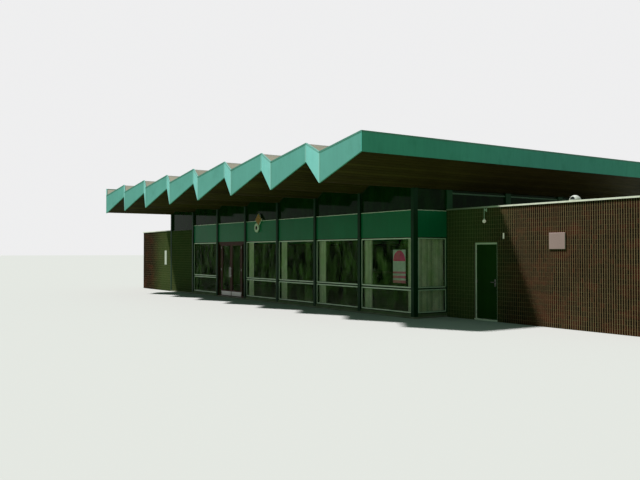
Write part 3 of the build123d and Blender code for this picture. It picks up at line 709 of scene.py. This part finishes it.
def layFelt(part, tone, length):
    count = math.ceil(2 * hall["valleyEnd"] / roof["sheet"])
    for i in range(count):
        low = (i - count / 2) * roof["sheet"]
        top = roof["thick"] * (1 if i % 2 else roof["over"])
        tonedSlab(part, tone, (roof["valleyGap"], low, -roof["into"]),
                  (length - roof["ridgeGap"], low + roof["sheet"] + roof["lap"], top), roof["edge"])


slopePieces("roof_sheets_", roof["run"], "roofFelt", layFelt)

pitch = (hall["deckRidge"] - hall["deckValley"]) / halfBay
for name, places, z, half, slope, end in (
        ("ridge_caps", middles, hall["deckRidge"] + roof["capRise"], roof["cap"], -pitch, hall["ridgeEnd"]),
        ("valley_gutters", valleys, hall["deckValley"] + roof["gutterRise"], roof["gutter"], pitch,
         hall["valleyEnd"] - roof["gutterShort"])):
    bm = bmesh.new()
    for x in places:
        line = [(x + away, -end, z + abs(away) * slope) for away in (-half, 0, half)]
        foldedSheet(bm, line, lambda co: (co.x, end, co.z), Vector((0, 0, 1)), roof["metal"])
    done(bm, name, "roofMetal")

# folded strips over the fascia's corners, valley and ridge, front and back
corner = dict(flange=0.035, thick=0.002, fascia=0.04, gap=0.0001, short=0.05, bottomValley=3.63,
              bottomRidge=4.33, topValley=4.44, topRidge=4.85)
lean = (hall["valleyEnd"] - hall["ridgeEnd"]) / halfBay
fall = (corner["bottomRidge"] - corner["bottomValley"]) / halfBay
crest = (corner["topRidge"] - corner["topValley"]) / halfBay
folds = [(x, 1, hall["valleyEnd"], corner["bottomValley"], corner["topValley"]) for x in valleys]
folds += [(x, -1, hall["ridgeEnd"], corner["bottomRidge"], corner["topRidge"]) for x in middles]
bm = bmesh.new()
for sign in (-1, 1):
    for x, hand, reach, bottom, top in folds:
        line = [(x + away, sign * (reach - hand * abs(away) * lean + corner["fascia"] + corner["gap"]),
                 bottom + hand * abs(away) * fall) for away in (-corner["flange"], 0, corner["flange"])]
        foldedSheet(bm, line, lambda co: (co.x, co.y, top - corner["short"] + hand * abs(co.x - x) * crest),
                    Vector((0, sign, 0)), -corner["thick"])
turnOut(bm)
done(bm, "fascia_corner_strips", "cornerPaint")
print("roof and soffit covered")

# band: a thin metal strip along its top edge
band = dict(strip=0.020, proud=0.010, over=0.002, edge=0.002)
low = hall["bandHigh"] + band["over"] - band["strip"]
high = low + band["strip"]
bandFace = hall["line"] + hall["frameHalf"]
returnFace = hall["cornerX"] + hall["frameHalf"]
bm = bmesh.new()
for sign in (-1, 1):
    y0, y1 = sorted((sign * bandFace, sign * (bandFace + band["proud"])))
    for m in middles:
        if m != brickBay:
            slab(bm, (m - clear / 2, y0, low), (m + clear / 2, y1, high), band["edge"])
for y0, y1 in returns:
    slab(bm, (returnFace, y0, low), (returnFace + band["proud"], y1, high), band["edge"])
done(bm, "band_edge_strips", "beadMetal")

# panes: clear in front; at the back nearly opaque dark glass, painted shade that stands in for the dark hall
# seen through; seat is where beads start
pane = dict(half=0.006, arris=0.001, seat=0.0062)
sideLight = dict(inner=0.9475, low=0.10, high=2.19)
sideLights = [(entranceBay - opening, entranceBay - sideLight["inner"]),
              (entranceBay + sideLight["inner"], entranceBay + opening)]
front, back = bmesh.new(), bmesh.new()
for low, high in lights:
    for side, m, line in windows:
        slab(front if side == "front" else back, (m - opening, line - pane["half"], low),
             (m + opening, line + pane["half"], high), pane["arris"])
    for y0, y1 in returns:
        slab(front if y0 < 0 else back, (hall["cornerX"] - pane["half"], y0 + hall["frame"], low),
             (hall["cornerX"] + pane["half"], y1 - hall["frame"], high), pane["arris"])
for x0, x1 in sideLights:
    slab(front, (x0, -hall["line"] - pane["half"], sideLight["low"]),
         (x1, -hall["line"] + pane["half"], sideLight["high"]), pane["arris"])
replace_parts(done(front, "window_panes_front", "glass"), "window_glass")
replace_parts(done(back, "window_panes_back", "shadeGlass"), "window_glass")

# window beads: a pale frame round each pane, lapped over the dark frame, with a gasket against the glass
bead = dict(face=0.030, lap=0.022, out=0.006, sink=0.002, gasket=0.013, gasketHigh=0.006)
beads, gaskets = bmesh.new(), bmesh.new()
bays = [(side, m, line, opening) for side, m, line in windows]
bays += [("right", hall["cornerX"], (y0 + y1) / 2, (y1 - y0) / 2 - hall["frame"]) for y0, y1 in returns]
for low, high in lights:
    for side, x, y, half in bays:
        centre = (x, y, (low + high) / 2)
        ring(beads, side, centre, hall["frameHalf"] - bead["sink"], 2 * (half + bead["lap"]),
             high - low + 2 * bead["lap"], bead["face"], bead["sink"] + bead["out"])
        ring(gaskets, side, centre, pane["seat"], 2 * half, high - low, bead["gasket"], bead["gasketHigh"])
done(beads, "window_beads", "beadMetal")
done(gaskets, "window_gaskets", "gasket")

# frames of the pointed panes above the band, and rails of the plain ones over the wings
upper = dict(half=0.02, foot=0.03, stile=0.012, under=0.01, bar=0.028, barUnder=0.02, edge=0.002)
stileTop = hall["beamLow"] - upper["under"]
eaves, peak = hall["beamLow"] - upper["barUnder"], hall["soffitRidge"] - upper["barUnder"]
bm = bmesh.new()
for sign in (-1, 1):
    y0, y, y1 = (sign * hall["line"] + off for off in (-upper["half"], 0, upper["half"]))
    for m in middles:
        low = leftTop if m == brickBay else hall["bandHigh"]
        high = low + upper["foot"]
        slab(bm, (m - clear / 2, y0, low), (m + clear / 2, y1, high), upper["edge"])
        for hand in (-1, 1):
            x = m + hand * (clear / 2 - upper["stile"])
            slab(bm, (x - upper["stile"], y0, high), (x + upper["stile"], y1, stileTop), upper["edge"])
            bar(bm, (m + hand * clear / 2, y, eaves), (m, y, peak), upper["bar"], 2 * upper["half"],
                upper["edge"])
done(bm, "clerestory_frames", "framePaint")

rail = dict(short=0.11, low=3.545, high=3.59, half=0.03, edge=0.004, footHigh=0.03, footHalf=0.02,
            footEdge=0.003)
bm = bmesh.new()
for x in (hall["cornerX"], valleys[-1]):
    for y0, y1 in zip(sidePosts, sidePosts[1:]):
        y0, y1 = y0 + rail["short"], y1 - rail["short"]
        slab(bm, (x - rail["half"], y0, rail["low"]), (x + rail["half"], y1, rail["high"]), rail["edge"])
        slab(bm, (x - rail["footHalf"], y0, hall["bandHigh"]),
             (x + rail["footHalf"], y1, hall["bandHigh"] + rail["footHigh"]), rail["footEdge"])
done(bm, "side_clerestory_rails", "palePaint")
print("glazing dressed")

# blinds: upright vanes, packed at the left of each bay and drawn across the return
blind = dict(width=0.089, bow=0.010, thick=0.0012, low=0.15, high=2.288, steps=4, line=-4.93, end=0.03,
             pitch=0.042, stack=0.37, corner=0.15, cornerGap=0.085, squeeze=0.62, turn=24, sway=5,
             drawnIn=0.07, drawnFirst=0.045, drawnPitch=0.074, drawnTurn=97, drawnSway=13)


def vane():  # one slat, slightly bowed across its width
    bm = bmesh.new()
    half = blind["width"] / 2
    radius = (half ** 2 + blind["bow"] ** 2) / (2 * blind["bow"])
    first = [bm.verts.new((-half, 0, blind["low"])), bm.verts.new((-half, 0, blind["high"]))]
    bmesh.ops.spin(bm, geom=[*first, bm.edges.new(first)], cent=(0, radius - blind["bow"], 0),
                   axis=(0, 0, 1), angle=2 * math.asin(half / radius), steps=blind["steps"], use_merge=False)
    turnOut(bm)
    bmesh.ops.solidify(bm, geom=bm.faces[:], thickness=blind["thick"])
    return bm


slat = vane()
slatTone = toneIn(slat)
bm = bmesh.new()
toneIn(bm)


def hang(x, y, turn, squeeze=1.0):  # one vane there, in the next tone
    shade = rng.random()
    for face in slat.faces:
        face[slatTone] = shade
    turned = Matrix.Rotation(math.radians(turn), 4, "Z") @ Matrix.Diagonal((squeeze, 1, 1, 1))
    stamp(bm, slat, Matrix.Translation((x, y, 0)) @ turned)


for m in middles[:4]:
    stacks = [(m - opening, blind["stack"])]
    if m == middles[0]:
        stacks.append((m + opening - blind["cornerGap"] - blind["corner"], blind["corner"]))
    for start, width in stacks:
        number = max(2, round(width / blind["pitch"]))
        step = (width - 2 * blind["end"]) / (number - 1)
        for j in range(number):
            sway = rng.uniform(-blind["sway"], blind["sway"])
            hang(start + blind["end"] + j * step, blind["line"], blind["turn"] + sway, blind["squeeze"])
y = hall["frame"] - hall["returnFar"] + blind["drawnFirst"]
while y < -hall["returnNear"] - blind["end"]:
    sway = rng.uniform(-blind["drawnSway"], blind["drawnSway"])
    hang(hall["cornerX"] - blind["drawnIn"], y, blind["drawnTurn"] + sway)
    y += blind["drawnPitch"]
slat.free()
vanes = done(bm, "blind_vanes", "blindFabric", smooth=40)
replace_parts(vanes, "vertical_blinds")

# a printed sheet hung inside the first window: a plain dome over stripes
poster = dict(x0=5.90, x1=6.46, z0=0.97, z1=1.93, y=-4.97, thick=0.004, edge=0.001, domeHalf=0.27,
              domeFoot=1.60, domeRise=0.31, dome=tint((252, 22, 120)), pale=tint((226, 226, 216)),
              pink=tint((228, 104, 132)), stripes=(0.0, 0.08, 0.14, 0.22, 0.28, 0.34))


def posterFinish():
    tree, shader = newFinish("posterPrint", 0.4, specular=0.4)
    axes = axesOf(tree, coordinates(tree))
    raised = sumOf(tree, "SUBTRACT", axes["Z"], poster["z0"])
    share = sumOf(tree, "DIVIDE", raised, poster["z1"] - poster["z0"])
    stripes = [(foot, poster["pale" if i % 2 else "pink"]) for i, foot in enumerate(poster["stripes"])]
    bands = rampOf(tree, share, *stripes)
    bands.node.color_ramp.interpolation = "CONSTANT"
    offset = sumOf(tree, "SUBTRACT", axes["X"], (poster["x0"] + poster["x1"]) / 2)
    across = sumOf(tree, "DIVIDE", offset, poster["domeHalf"])
    up = sumOf(tree, "DIVIDE", sumOf(tree, "SUBTRACT", axes["Z"], poster["domeFoot"]), poster["domeRise"])
    radius = sumOf(tree, "ADD", sumOf(tree, "MULTIPLY", across, across), sumOf(tree, "MULTIPLY", up, up))
    inside, above = sumOf(tree, "LESS_THAN", radius, 1.0), sumOf(tree, "GREATER_THAN", up, 0.0)
    dome = sumOf(tree, "MULTIPLY", inside, above)
    printed = mixOf(tree, "MIX", dome, bands, poster["dome"])
    fade = noiseOf(tree, 9, 5)
    feed(tree, darkened(tree, printed, fade, (0.3, 0.82), (0.7, 1.0)), shader["Base Color"])
    bumpOf(tree, shader, fade, 0.001, 0.3)


posterFinish()
bm = bmesh.new()
slab(bm, (poster["x0"], poster["y"], poster["z0"]),
     (poster["x1"], poster["y"] + poster["thick"], poster["z1"]), poster["edge"])
done(bm, "window_poster", "posterPrint")

# a bare plate on the left wing, with a screw in each corner
plate = dict(x0=-11.43, x1=-11.18, z0=1.26, z1=1.94, out=0.02, off=0.004, edge=0.003, inset=0.02, screw=0.005,
             head=0.003, headEdge=0.001)
outer = leftFace - plate["out"]
bm = bmesh.new()
slab(bm, (plate["x0"], outer, plate["z0"]), (plate["x1"], leftFace - plate["off"], plate["z1"]),
     plate["edge"], 2)
for x in (plate["x0"] + plate["inset"], plate["x1"] - plate["inset"]):
    for z in (plate["z0"] + plate["inset"], plate["z1"] - plate["inset"]):
        rod(bm, (x, outer, z), (x, outer - plate["head"], z), plate["screw"], 12, plate["headEdge"])
done(bm, "wall_notice_plate", "railPaint")
print("blinds and sheets hung")

# wings: straps over the coping's joints
cope = dict(high=0.04, strap=0.05, thick=0.0025, lip=0.03, step=2.45, edge=0.0008)
wings = ((rightStart, rightEnd, rightFace, rightTop), (leftEnd, leftStart, leftFace, leftTop))
bm = bmesh.new()
for x0, x1, face, top in wings:
    number = max(2, round((x1 - x0) / cope["step"]))
    outer = face - cope["lip"] - cope["thick"]
    over = top + cope["high"]
    for i in range(1, number):
        x = x0 + i * (x1 - x0) / number
        left, right = x - cope["strap"] / 2, x + cope["strap"] / 2
        for sign in (1, -1):
            for end, low in ((face + hall["wall"] + cope["lip"], over), (outer + cope["thick"], top)):
                y0, y1 = sorted((sign * outer, sign * end))
                slab(bm, (left, y0, low), (right, y1, over + cope["thick"]), cope["edge"])
done(bm, "coping_straps", "copingPaint")

# roofing felt on the wings in lapped sheets, with an upstand along the walls, and outlets
felt = dict(drop=0.11, sheet=0.98, lap=0.05, into=0.001, over=0.0055, under=0.003, edge=0.0008, upstand=0.105,
            thick=0.006, upstandEdge=0.001)
bm = bmesh.new()
tone = toneIn(bm)
for x0, x1, face, top in wings:
    x0, x1 = (x0, x1 - hall["wall"]) if x1 > 0 else (x0 + hall["wall"], x1)
    y1 = -face - hall["wall"]
    deck = top - felt["drop"]
    number = math.ceil((x1 - x0) / felt["sheet"])
    width = (x1 - x0) / number
    for i in range(number):
        high = deck + (felt["under"] if i % 2 else felt["over"])
        tonedSlab(bm, tone, (x0 + i * width, -y1, deck - felt["into"]),
                  (min(x1, x0 + (i + 1) * width + felt["lap"]), y1, high), felt["edge"])
    for sign in (-1, 1):
        near, far = sorted((sign * y1, sign * (y1 - felt["thick"])))
        slab(bm, (x0, near, deck), (x1, far, deck + felt["upstand"]), felt["upstandEdge"])
    end = x1 if x1 > 0 else x0
    near, far = sorted((end, end - math.copysign(felt["thick"], end)))
    slab(bm, (near, -y1, deck), (far, y1, deck + felt["upstand"]), felt["upstandEdge"])
done(bm, "wing_felt", "wingRoofing")

outlet = dict(right=((8.2, 3.2), (13.2, -3.0)), left=((-13.4, 4.3),), drop=0.105, into=0.002, dish=0.11,
              dishHigh=0.012, dishEdge=0.004, dome=0.055, domeHigh=0.05, domeEdge=0.008)
bm = bmesh.new()
for places, wall in ((outlet["right"], rightTop), (outlet["left"], leftTop)):
    top = wall - outlet["drop"]
    for x, y in places:
        rim = top + outlet["dishHigh"]
        rod(bm, (x, y, top - outlet["into"]), (x, y, rim), outlet["dish"], 32, outlet["dishEdge"])
        rod(bm, (x, y, rim), (x, y, top + outlet["domeHigh"]), outlet["dome"], 20, outlet["domeEdge"])
done(bm, "roof_outlets", "roofMetal", smooth=35)
print("wings dressed")

# plates where the posts meet the beams
head = dict(half=0.075, front=0.095, side=0.125, under=0.012, into=0.002, edge=0.002)
posts = [(x, sign * hall["line"], head["front"]) for sign in (-1, 1) for x in valleys]
posts += [(x, y, head["side"]) for x in (valleys[0], valleys[-1]) for y in sidePosts]
low, high = hall["beamLow"] - head["under"], hall["beamLow"] + head["into"]
bm = bmesh.new()
for x, y, half in posts:
    slab(bm, (x - head["half"], y - half, low), (x + head["half"], y + half, high), head["edge"])
done(bm, "post_head_plates", "postPaint")

# door in the brick wing: lock plate behind the lever, with the rim of its keyhole
lock = dict(far=0.085, near=0.035, low=0.93, high=1.13, proud=0.003, into=0.001, edge=0.001, hole=0.965,
            holeIn=0.06, rim=0.010, radius=0.011, rimEdge=0.002)
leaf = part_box("wing_door_leaf")
doorEdge, doorFace = leaf[1].x, leaf[0].y
holeX = doorEdge - lock["holeIn"]
bm = bmesh.new()
slab(bm, (doorEdge - lock["far"], doorFace - lock["proud"], lock["low"]),
     (doorEdge - lock["near"], doorFace + lock["into"], lock["high"]), lock["edge"], 2)
rod(bm, (holeX, doorFace - lock["proud"], lock["hole"]), (holeX, doorFace - lock["rim"], lock["hole"]),
    lock["radius"], 20, lock["rimEdge"])
done(bm, "door_plates", "darkSteel", "wing_door", smooth=30)

# entrance: beads round its panes
trim = dict(bead=0.014, out=0.004)


def paneBeads(bm, x0, x1, z0, z1, y, half):  # a frame on both faces of one upright pane
    for side in ("front", "back"):
        ring(bm, side, ((x0 + x1) / 2, y, (z0 + z1) / 2), pane["seat"], x1 - x0, z1 - z0, trim["bead"],
             half - pane["seat"] + trim["out"])


frameLow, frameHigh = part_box("entrance_frame")
bm = bmesh.new()
for x0, x1 in sideLights:
    paneBeads(bm, x0, x1, sideLight["low"], sideLight["high"], (frameLow.y + frameHigh.y) / 2,
              hall["frameHalf"])
done(bm, "side_light_beads", "doorWood")
for hand in ("left", "right"):
    low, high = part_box("entrance_door_" + hand)
    first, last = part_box("entrance_glass_" + hand)
    bm = bmesh.new()
    paneBeads(bm, first.x, last.x, first.z, last.z, (low.y + high.y) / 2, (high.y - low.y) / 2)
    done(bm, "entrance_beads_" + hand, "doorWood", "entrance_leaf_" + hand)

# kick plates on the leaves, screwed on, and a metal threshold
kick = dict(high=0.17, gap=0.03, thick=0.002, into=0.001, edge=0.0008, screwIn=0.05, screwUp=0.18,
            screw=0.006, head=0.0035, headEdge=0.001)
for hand in ("left", "right"):
    low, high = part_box("entrance_door_" + hand)
    foot = low.z + kick["gap"]
    bm = bmesh.new()
    slab(bm, (low.x + kick["gap"], low.y - kick["thick"], foot),
         (high.x - kick["gap"], low.y + kick["into"], foot + kick["high"]), kick["edge"])
    for x in (low.x + kick["screwIn"], (low.x + high.x) / 2, high.x - kick["screwIn"]):
        for z in (low.z + kick["screwIn"], low.z + kick["screwUp"]):
            rod(bm, (x, low.y - kick["into"], z), (x, low.y - kick["head"], z), kick["screw"], 12,
                kick["headEdge"])
    done(bm, "kick_plate_" + hand, "steel", "entrance_leaf_" + hand)

threshold = dict(deep=0.11, out=0.02, high=0.006, into=0.001, edge=0.003)
x0, x1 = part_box("entrance_door_left")[0].x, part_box("entrance_door_right")[1].x
y0 = frameLow.y - threshold["out"]
bm = bmesh.new()
slab(bm, (x0, y0, hall["slabTop"] - threshold["into"]),
     (x1, y0 + threshold["deep"], hall["slabTop"] + threshold["high"]), threshold["edge"], 2)
done(bm, "entrance_threshold", "steel")

# lamp fittings: a base on the wall and a collar on the globe
lamp = dict(half=0.022, out=0.011, off=0.002, low=2.955, high=3.045, edge=0.003, collar=0.019, under=0.008,
            over=0.022)
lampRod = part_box("wall_lamp_rod")
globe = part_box("wall_lamp_globe")
x, y = (lampRod[0].x + lampRod[1].x) / 2, (globe[0].y + globe[1].y) / 2
bm = bmesh.new()
slab(bm, (x - lamp["half"], rightFace - lamp["out"], lamp["low"]),
     (x + lamp["half"], rightFace - lamp["off"], lamp["high"]), lamp["edge"], 2)
rod(bm, (x, y, globe[1].z - lamp["under"]), (x, y, globe[1].z + lamp["over"]), lamp["collar"], 24,
    lamp["edge"])
done(bm, "lamp_fittings", "lampPaint", smooth=35)

# lens of the domed light on the coping
lens = dict(near=0.05, far=0.11, up=0.045, radius=0.04, edge=0.006)
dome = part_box("coping_dome")
x, z = (dome[0].x + dome[1].x) / 2, dome[0].z + lens["up"]
bm = bmesh.new()
rod(bm, (x, dome[0].y + lens["near"], z), (x, dome[0].y + lens["far"], z), lens["radius"], 24, lens["edge"])
done(bm, "dome_lens", "lensDark", smooth=35)

# faces of the blank sign: a ring over the diamond's lower tip, dark inside
blank = dict(disc=0.17, diamond=0.24, rim=0.006, rise=0.31, hole=0.075, into=0.0005, edge=0.0012)
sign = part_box("sign_plates")
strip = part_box("sign_strip")
discX, discZ = (strip[0].x + strip[1].x) / 2, sign[0].z + blank["disc"]
diamondX = sign[1].x - blank["diamond"]


def signFace(name, x, z, radius, sides, proud, paint):
    bm = bmesh.new()
    bmesh.ops.create_circle(bm, cap_ends=True, radius=radius, segments=sides)
    raised = only(BMVert, bmesh.ops.extrude_face_region(bm, geom=bm.faces[:])["geom"])
    bmesh.ops.translate(bm, vec=(0, 0, proud), verts=raised)
    turnOut(bm)
    bevelled(bm, [e for e in bm.edges if all(v.co.z > proud / 2 for v in e.verts)], blank["edge"])
    bmesh.ops.transform(bm, matrix=facing("front", (x, sign[0].y, z), -blank["into"]), verts=bm.verts)
    done(bm, name, paint)


signFace("sign_diamond_face", diamondX, discZ + blank["rise"], blank["diamond"] - blank["rim"], 4, 0.002,
         "signOrange")
signFace("sign_ring_face", discX, discZ, blank["disc"] - blank["rim"], 48, 0.004, "signWhite")
signFace("sign_ring_middle", discX, discZ, blank["hole"], 40, 0.006, "signDark")
print("fittings placed")

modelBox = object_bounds()


def plain(box):
    if isinstance(box, dict):
        return {k: plain(v) for k, v in box.items()}
    if hasattr(box, "__len__") and not isinstance(box, str):
        return [plain(v) for v in box]
    return round(float(box), 5) if isinstance(box, (int, float)) else box


{"cad": plain(cadBox), "model": plain(modelBox)}
